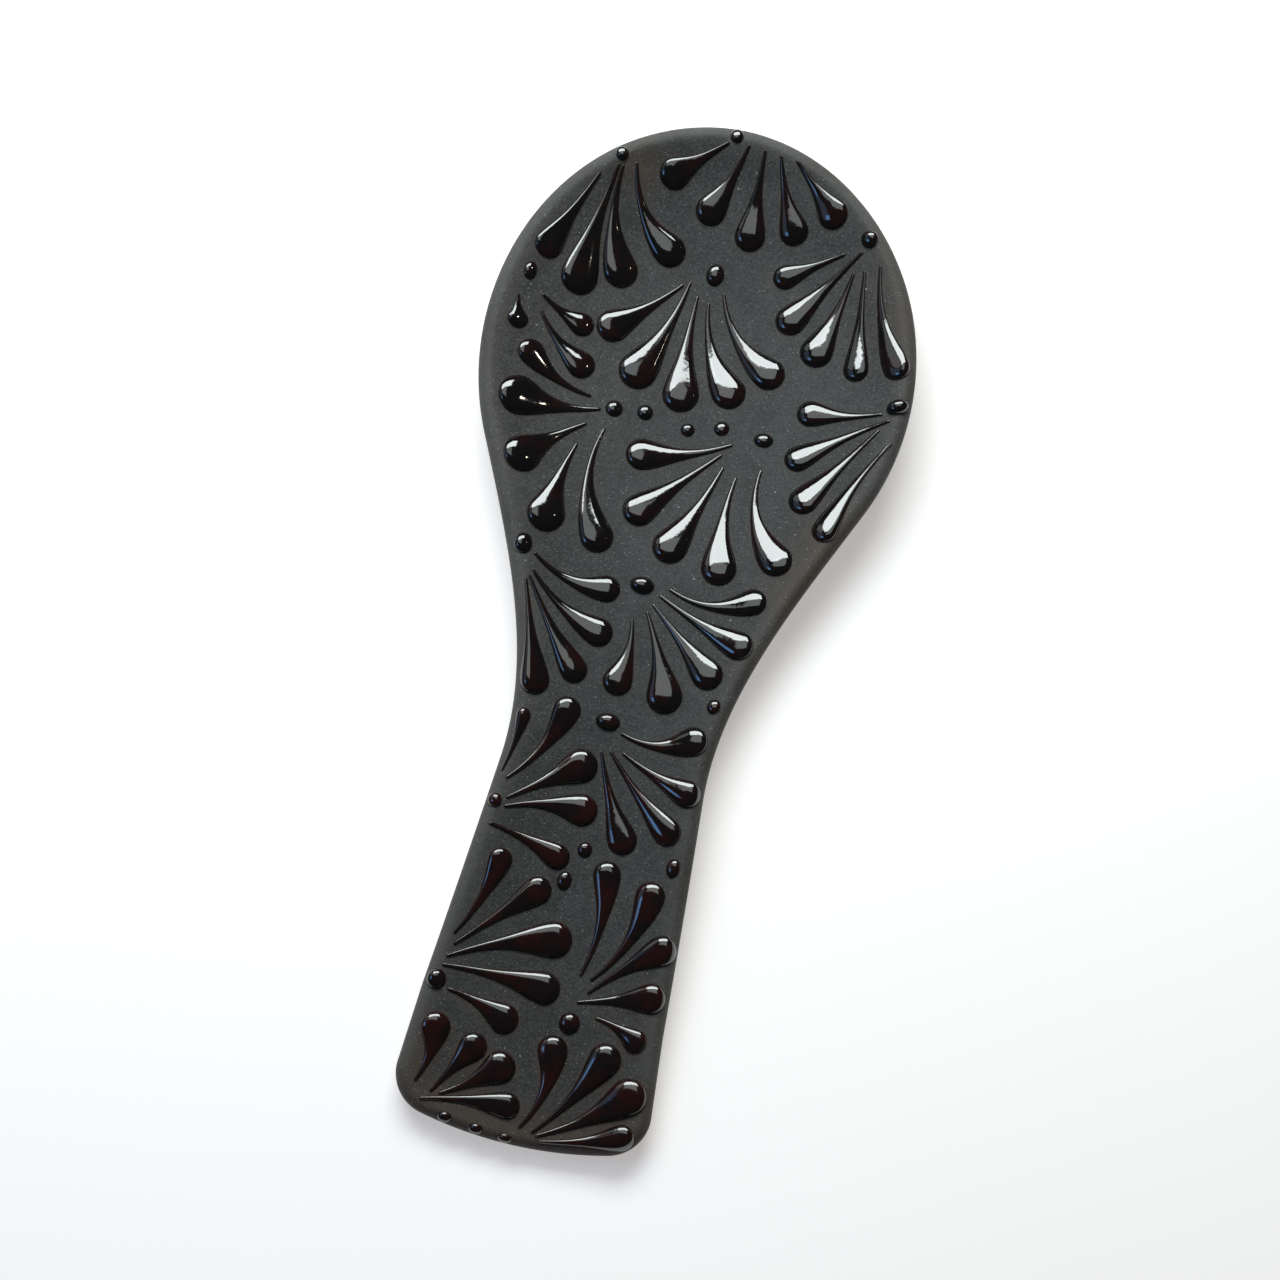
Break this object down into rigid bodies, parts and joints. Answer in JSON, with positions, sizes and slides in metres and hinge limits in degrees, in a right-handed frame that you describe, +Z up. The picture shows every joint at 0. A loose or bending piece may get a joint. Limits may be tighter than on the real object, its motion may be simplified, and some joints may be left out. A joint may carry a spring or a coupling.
{
  "type": "spoon rest",
  "caption": "Spoon-shaped rest in matt black clay: a shallow round bowl runs into a wide, flat handle, covered with raised glossy teardrop fans and dots.",
  "frame": {"origin": "on the surface that the piece lies on, under the middle of its bounding box", "axes": "+Y from the handle towards the bowl, +X to the right seen from above, +Z up out of the bowl"},
  "size_m": [0.105, 0.2501, 0.018],
  "materials": {
    "clay": "matte",
    "glaze": "gloss"
  },
  "bodies": {
    "root": {"clay_body": "clay", "far_left_fan": "glaze", "far_fan": "glaze", "far_right_fan": "glaze", "right_rim_fan": "glaze", "bowl_upper_fan": "glaze", "left_rim_sprig": "glaze", "bowl_left_fan": "glaze", "bowl_lower_fan": "glaze", "neck_fan": "glaze", "neck_left_fan": "glaze", "handle_upper_left_fan": "glaze", "handle_upper_right_fan": "glaze", "handle_lower_left_fan": "glaze", "handle_lower_right_fan": "glaze", "end_left_fan": "glaze", "end_right_fan": "glaze", "bowl_dots": "glaze", "handle_dots": "glaze", "end_edge_dots": "glaze"}
  },
  "joints": []
}
